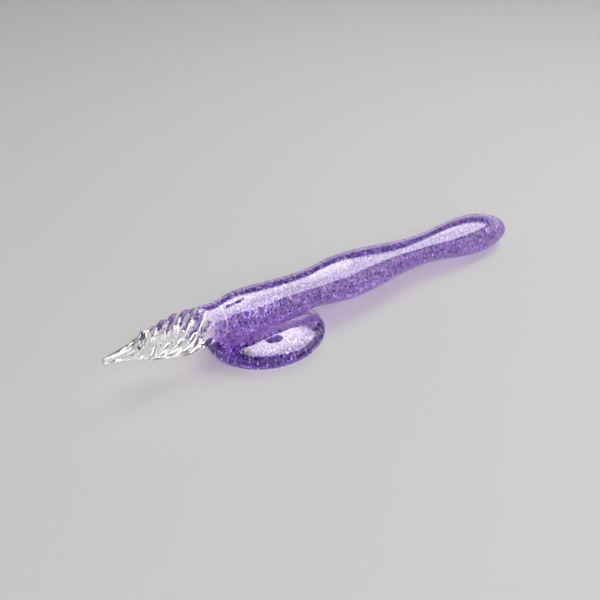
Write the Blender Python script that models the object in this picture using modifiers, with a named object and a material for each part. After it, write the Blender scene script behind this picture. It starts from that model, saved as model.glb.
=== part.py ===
"""A lampworked glass dip pen lying on its glass pen rest.

The pen is a clear twisted nib fused into a handle, which is a coloured glass core under a clear
casing. The rest is a pressed glass pebble, also a coloured core under a clear casing, with a
groove along its top. The pen lies in the groove and its tail touches the table.

World frame: the origin is the centre of the rest's flat underside, +Z is up, and the pen runs
along +X from its tip to its tail. Pen frame: +Z runs along the pen from the tip, +X is down.
"""

import math

import bmesh
import bpy

MM = 0.001

# Pen. A station is a distance along the pen from the end of the tip.
NIB_LENGTH = 32 * MM
HANDLE_LENGTH = 120 * MM

# Nib: each *_AT is a share of NIB_LENGTH, with the radius over the ridges there.
TIP_RADIUS = 0.8 * MM
POINT_AT, POINT_RADIUS = 0.3, 2.8 * MM  # where the drawn-out point ends
POINT_FLARE = 1.3  # 1 would make the point a straight cone
RIDGES_AT, RIDGES_RADIUS = 0.375, 4.1 * MM  # where the full ridges begin
NIB_SWELL_AT, NIB_SWELL_RADIUS = 0.7, 5.75 * MM
FADE_AT, FADED_AT = 0.76, 0.9  # the ridges run out between these places
FLUTE_COUNT = 8
FLUTE_SLOPE = 1.14  # tangent of the angle between a ridge and the pen's length
FLUTE_START = math.radians(8)  # turn of the first section round the pen
FLUTE_SHARE = 0.47  # groove depth, as a share of the radius over the ridges
FLUTE_SHARE_AT_TIP = 0.05
FLUTE_FULLNESS = 0.6  # 1 makes each ridge a plain arch, and less makes it fuller
TWIST_SHARE_AT_TIP = 0.12  # the drawn-out point is less twisted than the ridges
TWIST_SHARE_AT_NECK = 0.3
ROOT_LENGTH = 11 * MM
ROOT_END_RADIUS = 2 * MM

# Handle: each *_AT is a share of HANDLE_LENGTH, counted from the neck.
NECK_RADIUS = 5.2 * MM
FRONT_SWELL_AT, FRONT_SWELL_RADIUS = 0.07, 6.45 * MM
HOLLOW_AT, HOLLOW_RADIUS = 0.245, 5.7 * MM
GRIP_SWELL_AT, GRIP_SWELL_RADIUS = 0.38, 7.05 * MM
WAIST_AT, WAIST_RADIUS = 0.64, 4.9 * MM
BULB_AT, BULB_RADIUS = 0.85, 6.85 * MM
DROOP_AT, TAIL_DROOP = 0.6, 2.5 * MM  # the tail sags below the straight axis

CASING_WALL = 0.9 * MM
CORE_SETBACK = 3.5 * MM  # the coloured core starts this far behind the neck
GAP = 0.3 * MM  # between pieces that are fused or that rest on each other

# Pen rest: a flattened ellipsoid cut off at the table.
REST_LENGTH = 34.6 * MM
REST_WIDTH = 29.2 * MM
REST_EQUATOR = 3.8 * MM  # height of its widest section
REST_BULGE = 6.2 * MM  # from that section to the top of the uncut pebble
REST_TURN = math.radians(-15)  # its long side is not quite in line with the pen
REST_STATION = 48.4 * MM  # the pen's station over the middle of the rest
GROOVE_RADIUS = 11 * MM
GROOVE_FLOOR = 6.8 * MM  # above the table, at the middle of the rest
REST_CASING_WALL = 1.2 * MM
CUTTER_LENGTH = 3 * REST_LENGTH
CUTTER_OVERSHOOT = 1 * MM

# Facets
PEN_SIDES = 24
FLUTE_SIDES = 6  # for each ridge of the nib
NIB_RING_STEP = 1.1 * MM
PROFILE_STEPS = 7  # from a swell to the next waist
END_STEPS = 7
PEBBLE_SEGMENTS = 36
PEBBLE_RINGS = 18
GROOVE_SIDES = 72

HANDLE_SWELLS = (
    (0, NECK_RADIUS),
    (FRONT_SWELL_AT, FRONT_SWELL_RADIUS),
    (HOLLOW_AT, HOLLOW_RADIUS),
    (GRIP_SWELL_AT, GRIP_SWELL_RADIUS),
    (WAIST_AT, WAIST_RADIUS),
    (BULB_AT, BULB_RADIUS),
)


def smooth_step(value, start, end):
    """0 before start, 1 after end, and a smooth rise in between."""
    share = min(1.0, max(0.0, (value - start) / (end - start)))
    return share * share * (3 - 2 * share)


def handle_profile():
    """(radius, station) along the outside of the handle, from the neck to the end of the tail."""
    points = []
    for (start, first), (end, last) in zip(HANDLE_SWELLS, HANDLE_SWELLS[1:]):
        for step in range(PROFILE_STEPS):
            share = step / PROFILE_STEPS
            rise = (1 - math.cos(math.pi * share)) / 2
            along = start + (end - start) * share
            points.append((first + (last - first) * rise, NIB_LENGTH + HANDLE_LENGTH * along))
    for step in range(END_STEPS + 1):
        angle = math.pi / 2 * step / END_STEPS
        along = BULB_AT + (1 - BULB_AT) * math.sin(angle)
        points.append((BULB_RADIUS * math.cos(angle), NIB_LENGTH + HANDLE_LENGTH * along))
    return points


def inset(profile, distance):
    """The profile moved inwards along its normals. Its last point stays on the axis."""
    moved = []
    for i, (radius, station) in enumerate(profile):
        before = profile[max(i - 1, 0)]
        after = profile[min(i + 1, len(profile) - 1)]
        run, rise = after[1] - before[1], after[0] - before[0]
        length = math.hypot(run, rise)
        moved.append((radius - distance * run / length, station + distance * rise / length))
    moved[-1] = (0.0, profile[-1][1] - distance)
    return moved


def droop(station):
    """How far the centre line hangs below the straight axis."""
    along = (station - NIB_LENGTH) / HANDLE_LENGTH
    share = max(0.0, along - DROOP_AT) / (1 - DROOP_AT)
    return TAIL_DROOP * share * share


def rest_contact():
    """Distance of the pen's axis above the groove's floor line."""
    over_rest = [
        radius
        for radius, station in handle_profile()
        if abs(station - REST_STATION) < REST_LENGTH / 2
    ]
    return max(over_rest) + GAP


def lowest_point(tilt):
    """Height of the handle's lowest point above the table, with the pen tilted by this much."""
    axis_height = GROOVE_FLOOR + rest_contact() * math.cos(tilt)
    return min(
        axis_height
        - (station - REST_STATION) * math.sin(tilt)
        - (radius + droop(station)) * math.cos(tilt)
        for radius, station in handle_profile()
    )


def resting_tilt():
    """The tilt at which the tail just touches the table."""
    low, high = 0.0, math.radians(20)
    for _ in range(40):
        middle = (low + high) / 2
        if lowest_point(middle) > 0:
            low = middle
        else:
            high = middle
    return low


TILT = resting_tilt()


def above_floor_line(distance):
    """The point this far from the groove's floor line, square to it, over the rest's middle."""
    return (distance * math.sin(TILT), 0, GROOVE_FLOOR + distance * math.cos(TILT))


def glass(name, colour, roughness, transmission):
    material = bpy.data.materials.new(name)
    material.use_nodes = True
    shader = material.node_tree.nodes["Principled BSDF"]
    shader.inputs["Base Color"].default_value = (*colour, 1)
    shader.inputs["Roughness"].default_value = roughness
    shader.inputs["Metallic"].default_value = 0
    shader.inputs["IOR"].default_value = 1.5
    shader.inputs["Transmission Weight"].default_value = transmission
    return material


def add_object(name, mesh, collection, material=None):
    obj = bpy.data.objects.new(name, mesh)
    collection.objects.link(obj)
    if material:
        mesh.materials.append(material)
    return obj


def shade(mesh):
    mesh.shade_smooth()
    mesh.set_sharp_from_angle(angle=math.radians(35))


def turned(name, profile, collection):
    """The surface that (radius, station) points make when turned about the pen's axis."""
    mesh = bpy.data.meshes.new(name)
    points = [(radius, 0, station) for radius, station in profile]
    mesh.from_pydata(points, [(i, i + 1) for i in range(len(points) - 1)], [])
    obj = add_object(name, mesh, collection)
    screw = obj.modifiers.new("turn", "SCREW")
    screw.steps = screw.render_steps = PEN_SIDES
    screw.use_merge_vertices = True
    screw.merge_threshold = 0.00001
    return obj


def drooped(obj, collection, material):
    """The object as a plain mesh that follows the pen's hanging centre line."""
    name = obj.name
    bpy.context.view_layer.update()
    evaluated = obj.evaluated_get(bpy.context.evaluated_depsgraph_get())
    mesh = bpy.data.meshes.new_from_object(evaluated)
    bpy.data.objects.remove(obj)
    for vertex in mesh.vertices:
        vertex.co.x += droop(vertex.co.z)
    shade(mesh)
    return add_object(name, mesh, collection, material)


def make_handle_casing(collection, material):
    """A clear skin, open at the neck where the nib goes in."""
    surface = turned("handle_casing", handle_profile()[::-1], collection)
    casing = drooped(surface, collection, material)
    wall = casing.modifiers.new("wall", "SOLIDIFY")
    wall.thickness = CASING_WALL
    wall.offset = -1
    wall.use_even_offset = True
    return casing


def make_handle_core(collection, material):
    """The coloured glass inside the casing, with a tapered socket for the nib's root."""
    front = NIB_LENGTH + CORE_SETBACK
    outside = [p for p in inset(handle_profile(), CASING_WALL + GAP) if p[1] > front + GAP]
    face_radius = outside[0][0] - (outside[0][1] - front) * 0.3
    socket_mouth = root_radius(front) + GAP
    socket_end = NIB_LENGTH + ROOT_LENGTH
    socket = [
        (socket_mouth, front),
        (ROOT_END_RADIUS + GAP, socket_end),
        (ROOT_END_RADIUS * 0.7 + GAP, socket_end + ROOT_END_RADIUS / 4 + GAP),
        (0.0, socket_end + ROOT_END_RADIUS / 2 + GAP),
    ]
    profile = outside[::-1] + [(face_radius, front)] + socket
    return drooped(turned("handle_core", profile, collection), collection, material)


def root_radius(station):
    """The nib's root tapers from inside the casing's mouth to its round end."""
    mouth = NECK_RADIUS - CASING_WALL - GAP
    share = (station - NIB_LENGTH) / ROOT_LENGTH
    return mouth + (ROOT_END_RADIUS - mouth) * min(1.0, max(0.0, share))


def crest_radius(station):
    """Radius over the nib's ridges: a drawn-out point, a shoulder, a swell and the neck."""
    if station < TIP_RADIUS:
        return math.sqrt(TIP_RADIUS**2 - (TIP_RADIUS - station) ** 2)
    along = station / NIB_LENGTH
    if along < POINT_AT:
        share = (station - TIP_RADIUS) / (POINT_AT * NIB_LENGTH - TIP_RADIUS)
        return TIP_RADIUS + (POINT_RADIUS - TIP_RADIUS) * share**POINT_FLARE
    shoulder = (RIDGES_RADIUS - POINT_RADIUS) * smooth_step(along, POINT_AT, RIDGES_AT)
    swell = (NIB_SWELL_RADIUS - RIDGES_RADIUS) * smooth_step(along, RIDGES_AT, NIB_SWELL_AT)
    narrowing = (NECK_RADIUS - NIB_SWELL_RADIUS) * smooth_step(along, NIB_SWELL_AT, 1)
    return POINT_RADIUS + shoulder + swell + narrowing


def flute_depth(station):
    along = station / NIB_LENGTH
    deepening = smooth_step(along, POINT_AT / 2, RIDGES_AT)
    share = FLUTE_SHARE_AT_TIP + (FLUTE_SHARE - FLUTE_SHARE_AT_TIP) * deepening
    return share * (1 - smooth_step(along, FADE_AT, FADED_AT)) * crest_radius(station)


def twist_rate(station):
    """Turn of the ridges for each metre of the nib, in radians."""
    along = station / NIB_LENGTH
    twisting = smooth_step(along, POINT_AT / 2, RIDGES_AT)
    off_tip = TWIST_SHARE_AT_TIP + (1 - TWIST_SHARE_AT_TIP) * twisting
    to_neck = 1 - (1 - TWIST_SHARE_AT_NECK) * smooth_step(along, FADE_AT, FADED_AT)
    return off_tip * to_neck * FLUTE_SLOPE / max(TIP_RADIUS, crest_radius(station))


def nib_stations():
    """Stations of the fluted rings, closer together round the point of the tip."""
    shoulder = NIB_LENGTH - GAP
    tip = [TIP_RADIUS * share for share in (0.12, 0.45, 1.0)]
    count = round((shoulder - TIP_RADIUS) / NIB_RING_STEP)
    step = (shoulder - TIP_RADIUS) / count
    return tip + [TIP_RADIUS + step * i for i in range(1, count + 1)]


def fluted_ring(station, turn):
    """One cross-section of the nib: round crests with narrow grooves between them."""
    crest, depth = crest_radius(station), flute_depth(station)
    ring = []
    for i in range(FLUTE_COUNT * FLUTE_SIDES):
        angle = 2 * math.pi * i / (FLUTE_COUNT * FLUTE_SIDES)
        lobe = abs(math.cos(FLUTE_COUNT * angle / 2)) ** FLUTE_FULLNESS
        radius = crest - depth * (1 - lobe)
        ring.append((radius * math.cos(angle + turn), radius * math.sin(angle + turn), station))
    return ring


def make_nib(collection, material):
    """A loft of fluted sections that turn as they go, then the plain root inside the handle."""
    rings, turn, last = [], FLUTE_START, 0.0
    for station in nib_stations():
        turn += twist_rate((station + last) / 2) * (station - last)
        last = station
        # Seen from the tip the ridges climb clockwise, so the turn is negative about +Z in the
        # pen frame, whose +X points down.
        rings.append(fluted_ring(station, -turn))
    sides = len(rings[0])
    root_end = NIB_LENGTH + ROOT_LENGTH
    for station, radius in (
        (last, root_radius(last)),
        (root_end - GAP, ROOT_END_RADIUS),
        (root_end + ROOT_END_RADIUS / 4, ROOT_END_RADIUS * 0.7),
    ):
        angles = [2 * math.pi * i / sides - turn for i in range(sides)]
        rings.append([(radius * math.cos(a), radius * math.sin(a), station) for a in angles])
    bm = bmesh.new()
    loops = [[bm.verts.new(point) for point in ring] for ring in rings]
    for lower, upper in zip(loops, loops[1:]):
        for i in range(sides):
            j = (i + 1) % sides
            bm.faces.new((lower[i], lower[j], upper[j], upper[i]))
    tip = bm.verts.new((0, 0, 0))
    end = bm.verts.new((0, 0, root_end + ROOT_END_RADIUS / 2))
    for i in range(sides):
        j = (i + 1) % sides
        bm.faces.new((tip, loops[0][j], loops[0][i]))
        bm.faces.new((end, loops[-1][i], loops[-1][j]))
    mesh = bpy.data.meshes.new("nib")
    bm.to_mesh(mesh)
    bm.free()
    shade(mesh)
    return add_object("nib", mesh, collection, material)


def make_pebble(name, skin, base, collection, material=None):
    """The rest's ellipsoid with a skin of this thickness taken off, cut flat at height base."""
    bm = bmesh.new()
    bmesh.ops.create_uvsphere(
        bm, u_segments=PEBBLE_SEGMENTS, v_segments=PEBBLE_RINGS, radius=1
    )
    bmesh.ops.scale(bm, vec=(REST_LENGTH / 2, REST_WIDTH / 2, REST_BULGE), verts=bm.verts)
    bmesh.ops.translate(bm, vec=(0, 0, REST_EQUATOR), verts=bm.verts)
    bm.normal_update()
    for vertex in bm.verts:
        vertex.co -= vertex.normal * skin
    cut = bmesh.ops.bisect_plane(
        bm,
        geom=bm.verts[:] + bm.edges[:] + bm.faces[:],
        plane_co=(0, 0, base),
        plane_no=(0, 0, -1),
        clear_outer=True,
    )
    rim = [item for item in cut["geom_cut"] if isinstance(item, bmesh.types.BMEdge)]
    bmesh.ops.contextual_create(bm, geom=rim)
    bmesh.ops.recalc_face_normals(bm, faces=bm.faces)
    mesh = bpy.data.meshes.new(name)
    bm.to_mesh(mesh)
    bm.free()
    shade(mesh)
    obj = add_object(name, mesh, collection, material)
    obj.rotation_euler.z = REST_TURN
    return obj


def make_groove_cutter(name, skin, collection):
    """A rod along the pen's direction that presses the groove, plus the skin's thickness."""
    mesh = bpy.data.meshes.new(name)
    bm = bmesh.new()
    bmesh.ops.create_cone(
        bm,
        cap_ends=True,
        segments=GROOVE_SIDES,
        radius1=GROOVE_RADIUS + skin,
        radius2=GROOVE_RADIUS + skin,
        depth=CUTTER_LENGTH,
    )
    bm.to_mesh(mesh)
    bm.free()
    cutter = add_object(name, mesh, collection)
    cutter.location = above_floor_line(GROOVE_RADIUS)
    cutter.rotation_euler.y = math.pi / 2 + TILT
    return as_helper(cutter)


def as_helper(obj):
    obj.hide_render = True
    obj.display_type = "WIRE"
    return obj


def cut_away(obj, cutter):
    cut = obj.modifiers.new(cutter.name, "BOOLEAN")
    cut.operation = "DIFFERENCE"
    cut.object = cutter


def make_rest(collection, cutters, clear, coloured):
    """The rest's clear casing, open underneath, and the coloured core that fills it."""
    core_skin = REST_CASING_WALL + GAP
    casing = make_pebble("rest_casing", 0, 0, collection, clear)
    cut_away(casing, make_groove_cutter("groove_rod", 0, cutters))
    cavity = make_pebble("cavity", REST_CASING_WALL, -CUTTER_OVERSHOOT, cutters)
    cut_away(cavity, make_groove_cutter("cavity_groove_rod", REST_CASING_WALL, cutters))
    cut_away(casing, as_helper(cavity))
    core = make_pebble("rest_core", core_skin, 0, collection, coloured)
    cut_away(core, make_groove_cutter("core_groove_rod", core_skin, cutters))


def make_pen(collection, clear, coloured):
    """The three pieces of the pen, in the pen frame, laid in the groove by their parent."""
    axis = bpy.data.objects.new("pen_axis", None)
    collection.objects.link(axis)
    middle = above_floor_line(rest_contact())
    axis.location = (
        middle[0] - REST_STATION * math.cos(TILT),
        0,
        middle[2] + REST_STATION * math.sin(TILT),
    )
    axis.rotation_euler.y = math.pi / 2 + TILT
    make_nib(collection, clear).parent = axis
    make_handle_core(collection, coloured).parent = axis
    make_handle_casing(collection, clear).parent = axis


def new_collection(name):
    collection = bpy.data.collections.new(name)
    bpy.context.scene.collection.children.link(collection)
    return collection


def main():
    for obj in list(bpy.data.objects):
        bpy.data.objects.remove(obj)
    pieces = new_collection("glass_dip_pen")
    cutters = new_collection("cutters")
    clear = glass("clear_glass", (0.96, 0.97, 0.98), 0.02, 1.0)
    coloured = glass("purple_glass", (0.27, 0.13, 0.72), 0.05, 0.8)
    make_rest(pieces, cutters, clear, coloured)
    make_pen(pieces, clear, coloured)


main()
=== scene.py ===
"""Looks of the glass dip pen on its rest: clear glass over violet glass full of fine glitter.

Frame: the origin is the centre of the rest's flat underside, +Z is up and the pen runs along +X
from its tip to its tail. The outer sizes of the pen and the rest repeat those of the CAD model.
Inside, the violet glass is a skin and not a solid core. On the handle it starts nearer the
surface than the CAD's core, and it thins out over the end of the nib.
"""

import math

import bpy
import numpy as np
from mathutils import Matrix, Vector


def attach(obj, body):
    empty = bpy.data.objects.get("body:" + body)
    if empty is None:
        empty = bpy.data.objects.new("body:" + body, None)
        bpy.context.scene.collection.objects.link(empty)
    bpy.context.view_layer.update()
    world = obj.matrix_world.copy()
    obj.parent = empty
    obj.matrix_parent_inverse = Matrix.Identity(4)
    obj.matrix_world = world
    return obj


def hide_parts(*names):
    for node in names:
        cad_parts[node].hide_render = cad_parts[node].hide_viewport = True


MM = 0.001

# Pen: stations run along it from the end of the tip
NIB_LENGTH = 32 * MM
HANDLE_LENGTH = 120 * MM
TIP_RADIUS = 0.8 * MM
POINT_AT, POINT_RADIUS = 0.3, 2.8 * MM
POINT_FLARE = 1.3
RIDGES_AT, RIDGES_RADIUS = 0.375, 4.1 * MM
NIB_SWELL_AT, NIB_SWELL_RADIUS = 0.7, 5.75 * MM
FADE_AT, FADED_AT = 0.76, 0.9
FLUTE_COUNT = 8
FLUTE_SLOPE = 1.14
FLUTE_START = math.radians(8)
FLUTE_SHARE = 0.47
FLUTE_SHARE_AT_TIP = 0.05
FLUTE_FULLNESS = 0.6
TWIST_SHARE_AT_TIP = 0.12
TWIST_SHARE_AT_NECK = 0.3
ROOT_LENGTH = 11 * MM
ROOT_MIDDLE_RADIUS, ROOT_END_RADIUS = 3.2 * MM, 2 * MM
NECK_RADIUS = 5.2 * MM
HANDLE_SWELLS = (
    (0, NECK_RADIUS),
    (0.07, 6.45 * MM),
    (0.245, 5.7 * MM),
    (0.38, 7.05 * MM),
    (0.64, 4.9 * MM),
    (0.85, 6.85 * MM),
)
DROOP_AT, TAIL_DROOP = 0.6, 2.5 * MM
CASING_WALL = 0.9 * MM
SEEN_CASING_WALL = 0.675 * MM  # clear glass over the violet, as it looks
SKIN_DEPTH = 2.6 * MM  # thickness of the violet glass under the casing
SKIN_STARTS, SKIN_FULL = 26.5 * MM, 32 * MM  # it thins out to nothing over the neck
SEAM_LINE_AT = 32.6 * MM  # thin line of air caught where the nib meets the handle
SEAM_LINE_RADIUS = 4.45 * MM
SEAM_LINE_THICKNESS = 0.09 * MM
SEAM_LINE_WANDER = 0.25 * MM

# Rest
REST_LENGTH, REST_WIDTH = 34.6 * MM, 29.2 * MM
REST_EQUATOR, REST_BULGE = 3.8 * MM, 6.2 * MM
BASE_WALL_SHARE = 0.25  # the glass under the violet is this share of the wall elsewhere
REST_TURN = math.radians(-15)
REST_STATION = 48.4 * MM
REST_CASING_WALL = 1.2 * MM
REST_SKIN_DEPTH = 2.2 * MM
GROOVE_RADIUS = 11 * MM
GROOVE_FLOOR = 6.8 * MM
CONTACT_GAP = 0.3 * MM
EDGE_ROUNDING = 1.1 * MM
BASE_GAP = 0.02 * MM  # air under the flat base, which mirrors light back up

# Glitter: thin chips of three tones in the violet glass
HANDLE_FLECKS, REST_FLECKS = 20000, 9000  # draws; those that fall outside the glass are left out
FLECK_SIZE = 0.42 * MM
FLECK_SIZES = (0.5, 1.3)  # smallest and largest, as shares of that
FLECKS_START, FLECKS_FULL = 27.5 * MM, 33 * MM
FLECKS_INSIDE = 0.5  # share of the core's radius that holds no flecks
HANDLE_FLECK_INSET, REST_FLECK_INSET = 0.25 * MM, 0.3 * MM
DARK_SHARE, BRIGHT_SHARE = 0.42, 0.33
FLECK_PATCHES = 600  # lighter and darker patches to the metre
FLECK_PATCH_EDGES = (0.36, 0.64)  # noise values at which a patch is darkest and lightest
FLECK_TONES = (0.72, 1.35)
FLECK_ROUGHNESS = 0.35
SILVER_METAL, VIOLET_METAL = 0.4, 0.2
UNDERSIDE_PAINTED_LIGHT = 1.6  # extra share of bright flecks low down: painted light, for the light the glass gathers under itself
UNDERSIDE_EDGES = (0.1, 0.8)  # of the handle's painted underside light, as cosines of the angle from straight down
REST_UNDERSIDE = 0.5  # how far the rest's lowest flecks count as underside, for the painted light
SILVER, VIOLET, DARK_VIOLET = (0.76, 0.58, 1.0), (0.37, 0.17, 0.82), (0.075, 0.03, 0.22)

# Bubbles
NECK_BUBBLES, REST_BUBBLES = 16, 60
NECK_BUBBLES_ALONG = (27 * MM, 41 * MM)
NECK_BUBBLES_OUT = (0.3, 0.75)  # shares of the neck's radius
NECK_BUBBLE_WIDTHS = (0.08 * MM, 0.2 * MM)
NECK_BUBBLE_STRETCH = (1, 1.8)
REST_BUBBLES_ROUND = (-1.2, 1.2)  # angles from the rest's right end
REST_BUBBLES_UP = (-0.35, 0.75)  # angles above its widest level
REST_BUBBLES_OUT, REST_BUBBLES_RISE = (0.86, 0.93), 0.88  # shares of the way to its surface
REST_BUBBLE_INSET = 0.5 * MM
REST_BUBBLE_WIDTHS = (0.05 * MM, 0.09 * MM)
REST_BUBBLE_LENGTHS = (0.5 * MM, 1.6 * MM)
BUBBLE_WHITE, SEAM_WHITE = (0.98, 0.98, 1.0), (0.95, 0.9, 0.96)
BUBBLE_METAL, SEAM_METAL = 1.0, 0.1

# How finely each surface is divided
SIDES_PER_FLUTE, NIB_RINGS, TIP_RINGS = 20, 160, 8
TIP_START = 0.15  # angle on the tip's ball at which its first ring lies
CASING_SIDES, CASING_RINGS = 96, 150
CORE_SIDES, CORE_RINGS = 72, 120
TAIL_RINGS, TAIL_FLAT = 40, 0.002 * MM
LEAST_RADIUS = 0.05 * MM  # of an inner surface, before it closes at the tail
PEBBLE_COLUMNS, PEBBLE_ROWS = 128, 80
PEBBLE_MIDDLE = 0.4 * GROOVE_FLOOR  # height of the point that the rest's surface is seen from
SEAM_LINE_STEPS, SEAM_LINE_SIDES = 120, 8
BUBBLE_SIDES, BUBBLE_RINGS = 10, 7
HALVINGS = 40  # of an interval, to find a root in it

# Glass
GLASS_IOR = 1.5
GLASS_SHADOW = (0.76, 0.75, 0.74)  # tint of the light that passes through to the floor
WAVE_SCALE, WAVE_STRETCH = 420, 0.2
WAVE_DEPTH = 0.03 * MM
VIOLET_TINT, VIOLET_DENSITY = (0.52, 0.22, 0.82), 175

# Studio
PANEL_HEADING = math.radians(37.5)  # it hangs square to the viewer, not to the pen
PANEL_MIDDLE = (0.93, 0.0)  # tangents of its angles from straight up, sideways and away
PANEL_HALF = (1.06, 0.68)
PANEL_BLUR = 0.4
OPENING_MIDDLE = (0.16, 0.24)  # of the dark opening in the panel
OPENING_HALF = (0.13, 0.17)
OPENING_EDGE = (0.7, 1.4)  # squared distances from its middle over which it brightens
GLARE_EDGE, GLARE = (1.5, 30), 1.7  # the panel is brightest round the opening
PANEL_LIGHT = 8.5
PANEL_LIGHT_THROUGH = 0.5  # as seen through the glass
SKYLINE_LIGHT, SKYLINE_HEIGHTS = 1.2, (0.45, 0.2)
HORIZON_LIGHT, OVERHEAD_LIGHT, BASE_HEIGHTS = 0.42, 0.15, (0.1, 0.7)
SKY_COLOUR = (1.0, 0.985, 0.96)
FLOOR_COLOUR, FLOOR_HALF = (0.57, 0.565, 0.56), 3.0
KEY_AT, KEY_AIM = (0.25, -0.05, 0.7), (0.03, 0, 0.01)
KEY_SIZE, KEY_POWER = (0.5, 0.3), 3.1
FILL_AT, FILL_AIM = (-0.2, -0.75, 0.6), (0.02, 0, 0.01)
FILL_SIZE, FILL_POWER = (0.6, 0.4), 5.5

CAMERA_AT = (-0.0905, -0.1338, 0.1227)
CAMERA_TURN = (math.radians(90 - 33.75), 0, math.radians(-37.5))
CAMERA_LENS, SENSOR = 42, 36

RANDOM = np.random.default_rng(7)


def smooth_step(value, start, end):
    share = np.clip((value - start) / (end - start), 0, 1)
    return share * share * (3 - 2 * share)


# ---------------------------------------------------------------- the pen's shape


def handle_radius(station):
    along = (np.asarray(station, float) - NIB_LENGTH) / HANDLE_LENGTH
    radius = np.full_like(along, NECK_RADIUS)
    for (start, first), (end, last) in zip(HANDLE_SWELLS, HANDLE_SWELLS[1:]):
        share = np.clip((along - start) / (end - start), 0, 1)
        eased = first + (last - first) * (1 - np.cos(np.pi * share)) / 2
        radius = np.where(along > start, eased, radius)
    bulb_at, bulb_radius = HANDLE_SWELLS[-1]
    reach = np.clip((along - bulb_at) / (1 - bulb_at), 0, 1)
    return np.where(along > bulb_at, bulb_radius * np.sqrt(1 - reach * reach), radius)


def droop(station):
    share = np.clip(((station - NIB_LENGTH) / HANDLE_LENGTH - DROOP_AT) / (1 - DROOP_AT), 0, None)
    return TAIL_DROOP * share * share


def rest_contact():
    over = np.linspace(REST_STATION - REST_LENGTH / 2, REST_STATION + REST_LENGTH / 2, 200)
    return handle_radius(over[over > NIB_LENGTH]).max() + CONTACT_GAP


def lowest_point(tilt):
    station = np.linspace(NIB_LENGTH, NIB_LENGTH + HANDLE_LENGTH, 500)
    height = GROOVE_FLOOR + rest_contact() * math.cos(tilt)
    drop = (station - REST_STATION) * math.sin(tilt)
    return (height - drop - (handle_radius(station) + droop(station)) * math.cos(tilt)).min()


def resting_tilt():
    low, high = 0.0, math.radians(20)
    for _ in range(HALVINGS):
        middle = (low + high) / 2
        if lowest_point(middle) > 0:
            low = middle
        else:
            high = middle
    return low


TILT = resting_tilt()
PEN_DOWN = np.array((-math.sin(TILT), 0, -math.cos(TILT)))
PEN_SIDE = np.array((0.0, 1.0, 0.0))
PEN_ALONG = np.array((math.cos(TILT), 0, -math.sin(TILT)))
PEN_TIP = np.array((0, 0, GROOVE_FLOOR)) - rest_contact() * PEN_DOWN - REST_STATION * PEN_ALONG
GROOVE_AXIS_POINT = np.array((0, 0, GROOVE_FLOOR)) - GROOVE_RADIUS * PEN_DOWN


def on_pen(station, radius, angle):
    """World points at these stations, radii and angles round the pen's axis, from straight down."""
    station, radius, angle = np.broadcast_arrays(station, radius, angle)
    down = radius * np.cos(angle) + droop(station)
    side = radius * np.sin(angle)
    return (
        PEN_TIP
        + down[..., None] * PEN_DOWN
        + side[..., None] * PEN_SIDE
        + station[..., None] * PEN_ALONG
    )


def crest_radius(station):
    along = station / NIB_LENGTH
    before_ball = TIP_RADIUS - np.minimum(station, TIP_RADIUS)
    tip = np.sqrt(np.clip(TIP_RADIUS**2 - before_ball**2, 0, None))
    share = np.clip((station - TIP_RADIUS) / (POINT_AT * NIB_LENGTH - TIP_RADIUS), 0, 1)
    point = TIP_RADIUS + (POINT_RADIUS - TIP_RADIUS) * share**POINT_FLARE
    shoulder = (RIDGES_RADIUS - POINT_RADIUS) * smooth_step(along, POINT_AT, RIDGES_AT)
    swell = (NIB_SWELL_RADIUS - RIDGES_RADIUS) * smooth_step(along, RIDGES_AT, NIB_SWELL_AT)
    narrowing = (NECK_RADIUS - NIB_SWELL_RADIUS) * smooth_step(along, NIB_SWELL_AT, 1)
    body = POINT_RADIUS + shoulder + swell + narrowing
    return np.where(station < TIP_RADIUS, tip, np.where(along < POINT_AT, point, body))


def flute_depth(station):
    along = station / NIB_LENGTH
    deepening = smooth_step(along, POINT_AT / 2, RIDGES_AT)
    share = FLUTE_SHARE_AT_TIP + (FLUTE_SHARE - FLUTE_SHARE_AT_TIP) * deepening
    return share * (1 - smooth_step(along, FADE_AT, FADED_AT)) * crest_radius(station)


def twist(stations):
    """Angle that the ridges have turned through at each of these stations."""
    along = stations / NIB_LENGTH
    twisting = smooth_step(along, POINT_AT / 2, RIDGES_AT)
    off_tip = TWIST_SHARE_AT_TIP + (1 - TWIST_SHARE_AT_TIP) * twisting
    to_neck = 1 - (1 - TWIST_SHARE_AT_NECK) * smooth_step(along, FADE_AT, FADED_AT)
    rate = off_tip * to_neck * FLUTE_SLOPE / np.maximum(TIP_RADIUS, crest_radius(stations))
    steps = (rate[1:] + rate[:-1]) / 2 * np.diff(stations)
    return FLUTE_START + np.concatenate([[0], np.cumsum(steps)])


# ---------------------------------------------------------------- mesh helpers


def add_piece(name, points, faces, body, materials, face_slots=None):
    mesh = bpy.data.meshes.new(name)
    mesh.from_pydata(np.asarray(points).reshape(-1, 3).tolist(), [], faces)
    mesh.validate()
    mesh.shade_smooth()
    mesh.set_sharp_from_angle(angle=math.radians(60))
    for material in materials:
        mesh.materials.append(material)
    if face_slots is not None:
        mesh.polygons.foreach_set("material_index", np.asarray(face_slots, np.int32))
    obj = bpy.data.objects.new(name, mesh)
    bpy.context.scene.collection.objects.link(obj)
    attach(obj, body)
    return obj


def ring_faces(rings, sides, first=0):
    """Quads between neighbouring rings of points, facing out for rings in order along +axis."""
    faces = []
    for i in range(rings - 1):
        row, above = first + i * sides, first + (i + 1) * sides
        for j in range(sides):
            k = (j + 1) % sides
            faces.append((row + j, row + k, above + k, above + j))
    return faces


def loft(rings):
    """(points, faces) of a closed body: rings of points, with a fan at each end."""
    count, sides = rings.shape[:2]
    points = np.concatenate([rings.reshape(-1, 3), rings[:1].mean(1), rings[-1:].mean(1)])
    faces = ring_faces(count, sides)
    start, end = count * sides, count * sides + 1
    last = (count - 1) * sides
    for j in range(sides):
        k = (j + 1) % sides
        faces.append((start, k, j))
        faces.append((end, last + j, last + k))
    return points, faces


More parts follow.
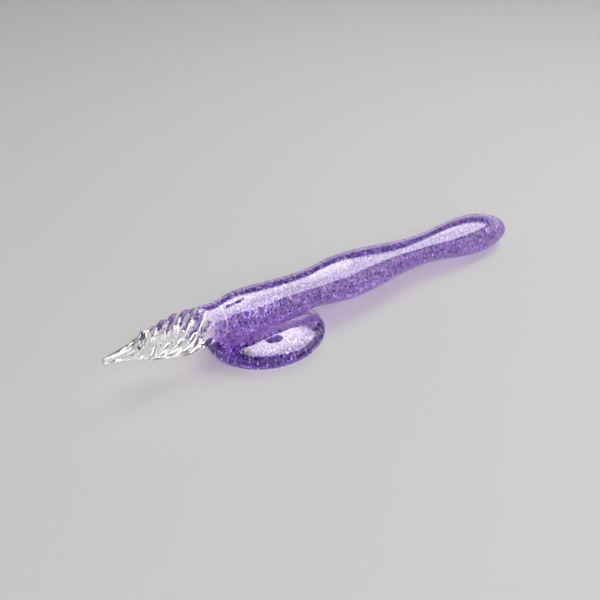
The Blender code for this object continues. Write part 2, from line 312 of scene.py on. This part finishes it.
def circle(sides):
    return 2 * np.pi * np.arange(sides) / sides


# ---------------------------------------------------------------- materials


def new_material(name):
    material = bpy.data.materials.new(name)
    material.use_nodes = True
    tree = material.node_tree
    tree.nodes.clear()
    output = tree.nodes.new("ShaderNodeOutputMaterial")
    return material, tree, output


def principled(tree, **values):
    shader = tree.nodes.new("ShaderNodeBsdfPrincipled")
    for name, value in values.items():
        shader.inputs[name.replace("_", " ")].default_value = value
    return shader


def lit_through(tree, surface, tint):
    """The surface, but lamps shine straight through it, tinted."""
    path = tree.nodes.new("ShaderNodeLightPath")
    clear = tree.nodes.new("ShaderNodeBsdfTransparent")
    clear.inputs["Color"].default_value = (*tint, 1)
    mix = tree.nodes.new("ShaderNodeMixShader")
    tree.links.new(path.outputs["Is Shadow Ray"], mix.inputs[0])
    tree.links.new(surface.outputs[0], mix.inputs[1])
    tree.links.new(clear.outputs[0], mix.inputs[2])
    return mix


def waviness(tree):
    """A slow bump, drawn out along the pen, as on glass worked in a flame."""
    coordinates = tree.nodes.new("ShaderNodeTexCoord")
    stretch = tree.nodes.new("ShaderNodeMapping")
    stretch.inputs["Scale"].default_value = (WAVE_SCALE * WAVE_STRETCH, WAVE_SCALE, WAVE_SCALE)
    noise = tree.nodes.new("ShaderNodeTexNoise")
    noise.inputs["Scale"].default_value = 1
    noise.inputs["Detail"].default_value = 0.6
    bump = tree.nodes.new("ShaderNodeBump")
    bump.inputs["Strength"].default_value = 1
    bump.inputs["Distance"].default_value = WAVE_DEPTH
    tree.links.new(coordinates.outputs["Object"], stretch.inputs["Vector"])
    tree.links.new(stretch.outputs[0], noise.inputs["Vector"])
    tree.links.new(noise.outputs["Fac"], bump.inputs["Height"])
    return bump


def clear_glass():
    material, tree, output = new_material("clear_glass")
    glass = principled(
        tree, Base_Color=(1, 1, 1, 1), Roughness=0.0, IOR=GLASS_IOR, Transmission_Weight=1
    )
    bump = waviness(tree)
    tree.links.new(bump.outputs[0], glass.inputs["Normal"])
    mix = lit_through(tree, glass, GLASS_SHADOW)
    tree.links.new(mix.outputs[0], output.inputs["Surface"])
    return material


def fused_seam():
    """Where two gathers of glass are fused, so there's no surface to see."""
    material, tree, output = new_material("fused_seam")
    clear = tree.nodes.new("ShaderNodeBsdfTransparent")
    clear.inputs["Color"].default_value = (1, 1, 1, 1)
    tree.links.new(clear.outputs[0], output.inputs["Surface"])
    return material


def violet_glass():
    """Colour that deepens with the length of glass that light crosses."""
    material, tree, output = new_material("violet_glass")
    clear = tree.nodes.new("ShaderNodeBsdfTransparent")
    tree.links.new(clear.outputs[0], output.inputs["Surface"])
    volume = tree.nodes.new("ShaderNodeVolumeAbsorption")
    volume.inputs["Color"].default_value = (*VIOLET_TINT, 1)
    volume.inputs["Density"].default_value = VIOLET_DENSITY
    tree.links.new(volume.outputs[0], output.inputs["Volume"])
    return material


def flecks(name, colour, metallic):
    """Flakes whose tone drifts from one patch of the glass to the next."""
    material, tree, output = new_material(name)
    shader = principled(tree, Roughness=FLECK_ROUGHNESS, Metallic=metallic)
    coordinates = tree.nodes.new("ShaderNodeTexCoord")
    noise = tree.nodes.new("ShaderNodeTexNoise")
    noise.inputs["Scale"].default_value = FLECK_PATCHES
    noise.inputs["Detail"].default_value = 2
    tones = tree.nodes.new("ShaderNodeValToRGB")
    for element, position, gain in zip(tones.color_ramp.elements, FLECK_PATCH_EDGES, FLECK_TONES):
        element.position = position
        element.color = (*(min(1, gain * channel) for channel in colour), 1)
    tree.links.new(coordinates.outputs["Object"], noise.inputs["Vector"])
    tree.links.new(noise.outputs["Fac"], tones.inputs["Fac"])
    tree.links.new(tones.outputs["Color"], shader.inputs["Base Color"])
    tree.links.new(shader.outputs[0], output.inputs["Surface"])
    return material


# ---------------------------------------------------------------- pieces


def nib_stations():
    ball = TIP_RADIUS * (1 - np.cos(np.linspace(TIP_START, np.pi / 2, TIP_RINGS)))
    body = np.arange(1, NIB_RINGS) / NIB_RINGS * (NIB_LENGTH - TIP_RADIUS) + TIP_RADIUS
    return np.concatenate([ball, body, [NIB_LENGTH]])


def make_nib(glass, seam):
    sides = FLUTE_COUNT * SIDES_PER_FLUTE
    stations = nib_stations()
    angle = circle(sides)
    turn = twist(stations)
    lobe = np.abs(np.cos(FLUTE_COUNT * angle / 2)) ** FLUTE_FULLNESS
    radius = crest_radius(stations)[:, None] - flute_depth(stations)[:, None] * (1 - lobe)[None, :]
    outer = on_pen(stations[:, None], radius, angle[None, :] - turn[:, None])
    root_stations = np.array([0, 0.5, 1]) * ROOT_LENGTH + NIB_LENGTH
    root_radii = np.array([NECK_RADIUS - CASING_WALL, ROOT_MIDDLE_RADIUS, ROOT_END_RADIUS])
    root = on_pen(root_stations[:, None], root_radii[:, None], angle[None, :] - turn[-1])
    points, faces = loft(np.concatenate([outer, root]))
    outside, inside, ends = (len(stations) - 1) * sides, 3 * sides, [0, 1] * sides
    slots = np.array([0] * outside + [1] * inside + ends)
    piece = add_piece("nib_glass", points, faces, "pen", [glass, seam], slots)
    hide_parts("nib")


def handle_stations(start, count):
    """Stations from start to the tail's end, closer together where the tail rounds off."""
    bulb = NIB_LENGTH + HANDLE_SWELLS[-1][0] * HANDLE_LENGTH
    end = NIB_LENGTH + HANDLE_LENGTH
    straight = np.linspace(start, bulb, count, endpoint=False)
    rounded = bulb + (end - bulb) * np.sin(np.linspace(0, np.pi / 2, TAIL_RINGS)[:-1])
    return np.concatenate([straight, rounded, [end - TAIL_FLAT]])


def inset_profile(stations, distance):
    """(stations, radii) of the handle's outline moved inwards along its normals."""
    radii = handle_radius(stations)
    run, rise = np.gradient(stations), np.gradient(radii)
    length = np.hypot(run, rise)
    return stations + distance * rise / length, radii - distance * run / length


def make_handle_casing(glass, seam):
    sides = CASING_SIDES
    stations = handle_stations(NIB_LENGTH, CASING_RINGS)
    outer = on_pen(stations[:, None], handle_radius(stations)[:, None], circle(sides)[None, :])
    inner_at, inner_radii = inset_profile(stations, CASING_WALL)
    keep = inner_radii > LEAST_RADIUS
    inner_at, inner_radii = inner_at[keep], inner_radii[keep]
    inner_at[0] = NIB_LENGTH
    inner = on_pen(inner_at[:, None], inner_radii[:, None], circle(sides)[None, :])
    points, faces = loft(np.concatenate([inner[::-1], outer]))
    outside, inside, ends = (len(outer) - 1) * sides, len(inner) * sides, [1, 0] * sides
    slots = [1] * inside + [0] * outside + ends
    piece = add_piece("handle_casing_glass", points, faces, "pen", [glass, seam], slots)
    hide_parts("handle_casing")


def skin_depth(station):
    return SKIN_DEPTH * smooth_step(station, SKIN_STARTS, SKIN_FULL)


def make_handle_core(violet):
    sides = CORE_SIDES
    stations = handle_stations(SKIN_STARTS, CORE_RINGS)
    outline = np.where(stations < NIB_LENGTH, crest_radius(stations), handle_radius(stations))
    run, rise = np.gradient(stations), np.gradient(outline)
    length = np.hypot(run, rise)
    rings = []
    for depth in (SEEN_CASING_WALL, SEEN_CASING_WALL + skin_depth(stations)):
        at = stations + depth * rise / length
        radius = outline - depth * run / length
        keep = radius > LEAST_RADIUS
        rings.append(on_pen(at[keep, None], radius[keep, None], circle(sides)[None, :]))
    points, faces = loft(np.concatenate([rings[1][::-1], rings[0]]))
    piece = add_piece("handle_core_glass", points, faces, "pen", [violet])
    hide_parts("handle_core")


def pebble_directions():
    polar = np.linspace(0, np.pi, PEBBLE_ROWS)[1:-1]
    around = circle(PEBBLE_COLUMNS)
    return np.stack(
        [
            np.sin(polar)[:, None] * np.cos(around)[None, :],
            np.sin(polar)[:, None] * np.sin(around)[None, :],
            np.repeat(-np.cos(polar)[:, None], PEBBLE_COLUMNS, 1),
        ],
        -1,
    )


def smooth_max(a, b, rounding):
    h = np.clip(0.5 + 0.5 * (a - b) / rounding, 0, 1)
    return b + (a - b) * h + rounding * h * (1 - h)


def pebble_distance(points, inset):
    """Roughly how far points lie outside the rest's surface, moved inwards by inset."""
    c, s = math.cos(-REST_TURN), math.sin(-REST_TURN)
    x = points[..., 0] * c - points[..., 1] * s
    y = points[..., 0] * s + points[..., 1] * c
    z = points[..., 2] - REST_EQUATOR
    radii = np.array((REST_LENGTH / 2, REST_WIDTH / 2, REST_BULGE))
    scaled = np.stack([x, y, z], -1) / radii
    norm = np.linalg.norm(scaled, axis=-1)
    slope = np.linalg.norm(scaled / radii, axis=-1)
    body = norm * (norm - 1) / np.maximum(slope, 1e-9) + inset
    offset = points - GROOVE_AXIS_POINT
    offset = offset - (offset @ PEN_ALONG)[..., None] * PEN_ALONG
    groove = GROOVE_RADIUS - np.linalg.norm(offset, axis=-1) + inset
    base = BASE_GAP + inset * BASE_WALL_SHARE - points[..., 2]
    return smooth_max(smooth_max(body, groove, EDGE_ROUNDING), base, EDGE_ROUNDING)


def pebble(inset):
    """(points, faces) of the rest's surface moved inwards, from rays out of its middle."""
    middle = np.array((0, 0, PEBBLE_MIDDLE))
    directions = pebble_directions()
    near, far = np.zeros(directions.shape[:2]), np.full(directions.shape[:2], REST_LENGTH)
    for _ in range(HALVINGS):
        half = (near + far) / 2
        outside = pebble_distance(middle + half[..., None] * directions, inset) > 0
        far = np.where(outside, half, far)
        near = np.where(outside, near, half)
    return loft(middle + near[..., None] * directions)


def make_rest(glass, seam, violet):
    outer_points, outer_faces = pebble(0)
    casing = add_piece("rest_casing_glass", outer_points, outer_faces, "rest", [glass])
    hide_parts("rest_casing")
    outer, faces = pebble(REST_CASING_WALL)
    inner, _ = pebble(REST_CASING_WALL + REST_SKIN_DEPTH)
    count = len(outer)
    both = faces + [tuple(count + i for i in reversed(face)) for face in faces]
    core = add_piece("rest_core_glass", np.concatenate([outer, inner]), both, "rest", [violet])
    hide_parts("rest_core")


def chips(centres, size):
    """(points, faces) of a thin flake, a flattened four-sided chip, at each centre."""
    count = len(centres)
    corners = np.array([(1, 0, 0), (-0.45, 0.8, 0), (-0.55, -0.75, 0), (0, 0, 0.3)])
    turns = RANDOM.normal(size=(count, 4))
    turns /= np.linalg.norm(turns, axis=1)[:, None]
    w, x, y, z = turns.T
    rotation = np.stack(
        [
            np.stack([1 - 2 * (y * y + z * z), 2 * (x * y - z * w), 2 * (x * z + y * w)], -1),
            np.stack([2 * (x * y + z * w), 1 - 2 * (x * x + z * z), 2 * (y * z - x * w)], -1),
            np.stack([2 * (x * z - y * w), 2 * (y * z + x * w), 1 - 2 * (x * x + y * y)], -1),
        ],
        1,
    )
    scale = size * RANDOM.uniform(*FLECK_SIZES, count)
    points = centres[:, None] + np.einsum("nij,kj->nki", rotation, corners) * scale[:, None, None]
    faces = []
    for i in range(count):
        a = 4 * i
        faces += [(a, a + 2, a + 1), (a, a + 1, a + 3), (a + 1, a + 2, a + 3), (a + 2, a, a + 3)]
    return points.reshape(-1, 3), faces


def add_flecks(name, centres, body, materials, painted_underside_light):
    """Flecks of three tones. Low down fewer are dark and more are bright: painted light, for the
    light that the glass gathers on its underside.
    """
    points, faces = chips(centres, FLECK_SIZE)
    chance = RANDOM.uniform(0, 1, len(centres))
    dark = DARK_SHARE * (1 - painted_underside_light)
    bright = BRIGHT_SHARE * (1 + UNDERSIDE_PAINTED_LIGHT * painted_underside_light)
    tones = np.where(chance < dark, 2, np.where(chance < dark + bright, 0, 1))
    piece = add_piece(name, points, faces, body, materials, np.repeat(tones, 4))
    piece.visible_shadow = False


def make_handle_glitter(materials):
    count = HANDLE_FLECKS
    station = RANDOM.uniform(SKIN_STARTS, NIB_LENGTH + HANDLE_LENGTH - 2 * MM, count)
    angle = RANDOM.uniform(0, 2 * np.pi, count)
    share = RANDOM.uniform(0, 1, count)
    outline = np.where(station < NIB_LENGTH, crest_radius(station), handle_radius(station))
    reach = outline - CASING_WALL - HANDLE_FLECK_INSET
    radius = reach * (FLECKS_INSIDE + (1 - FLECKS_INSIDE) * share)
    chance = smooth_step(station, FLECKS_START, FLECKS_FULL)
    keep = (radius > 0) & (RANDOM.uniform(0, 1, count) < chance)
    centres = on_pen(station[keep], radius[keep], angle[keep])
    # painted light: the flecks low on the handle are made lighter
    painted_underside_light = smooth_step(np.cos(angle[keep]), *UNDERSIDE_EDGES)
    add_flecks("handle_glitter", centres, "pen", materials, painted_underside_light)


def make_rest_glitter(materials):
    half_box = (REST_LENGTH / 2, REST_LENGTH / 2, REST_BULGE)
    box = RANDOM.uniform(-1, 1, (REST_FLECKS, 3)) * half_box
    box[:, 2] += REST_EQUATOR
    distance = pebble_distance(box, REST_CASING_WALL + REST_FLECK_INSET)
    centres = box[distance < 0]
    # painted light: the rest's lowest flecks are made lighter, less than the handle's
    painted_underside_light = REST_UNDERSIDE * smooth_step(-centres[:, 2], -REST_EQUATOR, 0)
    add_flecks("rest_glitter", centres, "rest", materials, painted_underside_light)


def blown(centres, lengths, widths, directions):
    """(points, faces) of an ellipsoid at each centre, with these half sizes along and across."""
    polar = np.linspace(0, np.pi, BUBBLE_RINGS + 2)[1:-1]
    around = circle(BUBBLE_SIDES)
    points, faces, offset = [], [], 0
    for centre, length, width, direction in zip(centres, lengths, widths, directions):
        turn = np.array(Vector(direction).to_track_quat("Z", "Y").to_matrix())
        shell = np.stack(
            [
                width * np.sin(polar)[:, None] * np.cos(around),
                width * np.sin(polar)[:, None] * np.sin(around),
                np.repeat(-length * np.cos(polar)[:, None], BUBBLE_SIDES, 1),
            ],
            -1,
        )
        shell_points, shell_faces = loft(shell @ turn.T + centre)
        points.append(shell_points)
        faces += [tuple(offset + i for i in face) for face in shell_faces]
        offset += len(shell_points)
    return np.concatenate(points), faces


def make_neck_bubbles(material):
    count = NECK_BUBBLES
    station = RANDOM.uniform(*NECK_BUBBLES_ALONG, count)
    radius = RANDOM.uniform(*NECK_BUBBLES_OUT, count) * NECK_RADIUS
    centres = on_pen(station, radius, RANDOM.uniform(0, 2 * np.pi, count))
    widths = RANDOM.uniform(*NECK_BUBBLE_WIDTHS, count)
    lengths = widths * RANDOM.uniform(*NECK_BUBBLE_STRETCH, count)
    points, faces = blown(centres, lengths, widths, [PEN_ALONG] * count)
    piece = add_piece("neck_bubbles", points, faces, "pen", [material])


def make_seam_line(material):
    """A hair-thin ring of uneven thickness, which closes on itself."""
    sides = SEAM_LINE_SIDES
    around = circle(SEAM_LINE_STEPS)
    unevenness = 1 + np.sin(3 * around + 1) / 3 + np.sin(8 * around) / 4.5
    thickness = SEAM_LINE_THICKNESS * unevenness
    wander = SEAM_LINE_WANDER * np.sin(2 * around + 0.6)
    section = circle(sides)
    station = SEAM_LINE_AT + wander[:, None] + thickness[:, None] * np.sin(section)[None, :]
    radius = SEAM_LINE_RADIUS + thickness[:, None] * np.cos(section)[None, :]
    points = on_pen(station, radius, around[:, None])
    faces = ring_faces(len(around), sides)
    last = (len(around) - 1) * sides
    for j in range(sides):
        k = (j + 1) % sides
        faces.append((last + j, last + k, k, j))
    piece = add_piece("neck_seam_line", points, faces, "pen", [material])


def make_rest_bubbles(material):
    """Drawn-out bubbles that follow the rest's rim, just under its skin."""
    count = REST_BUBBLES
    around = RANDOM.uniform(*REST_BUBBLES_ROUND, count)
    height = RANDOM.uniform(*REST_BUBBLES_UP, count)
    spread = np.cos(height) * RANDOM.uniform(*REST_BUBBLES_OUT, count)
    c, s = math.cos(REST_TURN), math.sin(REST_TURN)
    x = REST_LENGTH / 2 * spread * np.cos(around)
    y = REST_WIDTH / 2 * spread * np.sin(around)
    z = REST_EQUATOR + REST_BULGE * REST_BUBBLES_RISE * np.sin(height)
    centres = np.stack([x * c - y * s, x * s + y * c, z], -1)
    inside = pebble_distance(centres, REST_BUBBLE_INSET) < 0
    centres = centres[inside]
    down_rim = np.stack(
        [-np.sin(height) * np.cos(around), -np.sin(height) * np.sin(around), np.cos(height)], -1
    )
    count = len(centres)
    widths = RANDOM.uniform(*REST_BUBBLE_WIDTHS, count)
    lengths = RANDOM.uniform(*REST_BUBBLE_LENGTHS, count)
    points, faces = blown(centres, lengths, widths, down_rim[inside])
    piece = add_piece("rest_bubbles", points, faces, "rest", [material])


# ---------------------------------------------------------------- studio


def softbox(name, at, towards, size, power):
    light = bpy.data.lights.new(name, "AREA")
    light.shape = "RECTANGLE"
    light.size, light.size_y = size
    light.energy = power
    obj = bpy.data.objects.new(name, light)
    obj.location = at
    obj.rotation_euler = (Vector(towards) - Vector(at)).to_track_quat("-Z", "Y").to_euler()
    obj.visible_glossy = False
    bpy.context.scene.collection.objects.link(obj)


def math_node(tree, operation, *values):
    """Math on these sockets and numbers, as a socket."""
    node = tree.nodes.new("ShaderNodeMath")
    node.operation = operation
    for i, value in enumerate(values):
        if isinstance(value, (int, float)):
            node.inputs[i].default_value = value
        else:
            tree.links.new(value, node.inputs[i])
    return node.outputs[0]


def ramp(tree, value, start, end, low=0.0, high=1.0):
    """Smooth change of value from low at start to high at end, as a socket."""
    node = tree.nodes.new("ShaderNodeMapRange")
    node.interpolation_type = "SMOOTHSTEP"
    tree.links.new(value, node.inputs["Value"])
    for name, number in (("From Min", start), ("From Max", end), ("To Min", low), ("To Max", high)):
        node.inputs[name].default_value = number
    return node.outputs[0]


def sky_direction(tree):
    """Sockets of the direction looked in, turned to the panel's heading."""
    coordinates = tree.nodes.new("ShaderNodeTexCoord")
    turn = tree.nodes.new("ShaderNodeVectorRotate")
    turn.rotation_type = "Z_AXIS"
    turn.inputs["Angle"].default_value = PANEL_HEADING
    tree.links.new(coordinates.outputs["Generated"], turn.inputs["Vector"])
    direction = tree.nodes.new("ShaderNodeSeparateXYZ")
    tree.links.new(turn.outputs[0], direction.inputs[0])
    return direction.outputs


def panel_shape(tree, x, y, z):
    """Brightness of the soft panel overhead, with the dark opening in it, as a socket."""
    depth = math_node(tree, "MAXIMUM", z, 0.01)
    tangents = [math_node(tree, "DIVIDE", side, depth) for side in (x, y)]
    panel = 1.0
    for tangent, middle, half in zip(tangents, PANEL_MIDDLE, PANEL_HALF):
        offset = math_node(tree, "ABSOLUTE", math_node(tree, "SUBTRACT", tangent, middle))
        panel = math_node(tree, "MULTIPLY", ramp(tree, offset, half + PANEL_BLUR, half), panel)
    squares = []
    for tangent, middle, half in zip(tangents, OPENING_MIDDLE, OPENING_HALF):
        offset = math_node(tree, "DIVIDE", math_node(tree, "SUBTRACT", tangent, middle), half)
        squares.append(math_node(tree, "MULTIPLY", offset, offset))
    from_opening = math_node(tree, "ADD", *squares)
    opening = ramp(tree, from_opening, *OPENING_EDGE)
    glare = ramp(tree, from_opening, *GLARE_EDGE, GLARE, 1)
    return math_node(tree, "MULTIPLY", math_node(tree, "MULTIPLY", panel, opening), glare)


def make_sky():
    """Pale studio surroundings, with one soft overhead panel that shows in reflections."""
    world = bpy.data.worlds.new("studio")
    bpy.context.scene.world = world
    world.use_nodes = True
    tree = world.node_tree
    x, y, z = sky_direction(tree)
    panel = panel_shape(tree, x, y, z)
    skyline = ramp(tree, z, *SKYLINE_HEIGHTS, 0, SKYLINE_LIGHT)
    path = tree.nodes.new("ShaderNodeLightPath")
    through = path.outputs["Is Transmission Ray"]
    strength = ramp(tree, through, 0, 1, PANEL_LIGHT, PANEL_LIGHT_THROUGH)
    shown = math_node(tree, "MULTIPLY_ADD", panel, strength, skyline)
    in_glass = math_node(tree, "MULTIPLY", shown, path.outputs["Is Glossy Ray"])
    direct = math_node(tree, "LESS_THAN", path.outputs["Diffuse Depth"], 0.5)
    mirrored = math_node(tree, "MULTIPLY", in_glass, direct)
    base = ramp(tree, z, *BASE_HEIGHTS, HORIZON_LIGHT, OVERHEAD_LIGHT)
    total = math_node(tree, "ADD", mirrored, base)
    background = tree.nodes["Background"]
    background.inputs["Color"].default_value = (*SKY_COLOUR, 1)
    tree.links.new(total, background.inputs["Strength"])


def make_floor():
    mesh = bpy.data.meshes.new("floor")
    corners = [(-FLOOR_HALF, -FLOOR_HALF, 0), (FLOOR_HALF, -FLOOR_HALF, 0)]
    corners += [(FLOOR_HALF, FLOOR_HALF, 0), (-FLOOR_HALF, FLOOR_HALF, 0)]
    mesh.from_pydata(corners, [], [(0, 1, 2, 3)])
    floor = bpy.data.objects.new("floor", mesh)
    bpy.context.scene.collection.objects.link(floor)
    material, tree, output = new_material("floor")
    shader = principled(
        tree, Base_Color=(*FLOOR_COLOUR, 1), Roughness=0.8, Specular_IOR_Level=0.1
    )
    tree.links.new(shader.outputs[0], output.inputs["Surface"])
    mesh.materials.append(material)


def make_studio():
    make_floor()
    make_sky()
    softbox("key", KEY_AT, KEY_AIM, KEY_SIZE, KEY_POWER)
    softbox("fill", FILL_AT, FILL_AIM, FILL_SIZE, FILL_POWER)

    scene = bpy.context.scene
    camera = bpy.data.objects.new("camera", bpy.data.cameras.new("camera"))
    camera.data.lens = CAMERA_LENS
    camera.data.sensor_width = SENSOR
    camera.data.clip_start = 0.01
    camera.location = CAMERA_AT
    camera.rotation_euler = CAMERA_TURN
    scene.collection.objects.link(camera)
    scene.camera = camera

    scene.view_settings.view_transform = "Standard"
    scene.cycles.max_bounces = 24
    scene.cycles.transmission_bounces = 20
    scene.cycles.transparent_max_bounces = 48


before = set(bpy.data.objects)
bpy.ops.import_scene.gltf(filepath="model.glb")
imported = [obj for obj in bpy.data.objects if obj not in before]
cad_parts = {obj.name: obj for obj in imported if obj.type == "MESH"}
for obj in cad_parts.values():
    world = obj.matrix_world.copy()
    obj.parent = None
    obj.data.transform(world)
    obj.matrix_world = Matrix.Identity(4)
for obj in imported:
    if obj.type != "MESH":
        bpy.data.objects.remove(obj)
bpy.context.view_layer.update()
glass, seam, violet = clear_glass(), fused_seam(), violet_glass()
glitter = [
    flecks("silver_flecks", SILVER, SILVER_METAL),
    flecks("violet_flecks", VIOLET, VIOLET_METAL),
    flecks("dark_flecks", DARK_VIOLET, VIOLET_METAL),
]
make_nib(glass, seam)
make_handle_casing(glass, seam)
make_handle_core(violet)
make_handle_glitter(glitter)
make_rest(glass, seam, violet)
make_rest_glitter(glitter)
bubble = flecks("bubble_skin", BUBBLE_WHITE, BUBBLE_METAL)
make_neck_bubbles(bubble)
make_seam_line(flecks("pale_seam", SEAM_WHITE, SEAM_METAL))
make_rest_bubbles(bubble)
make_studio()
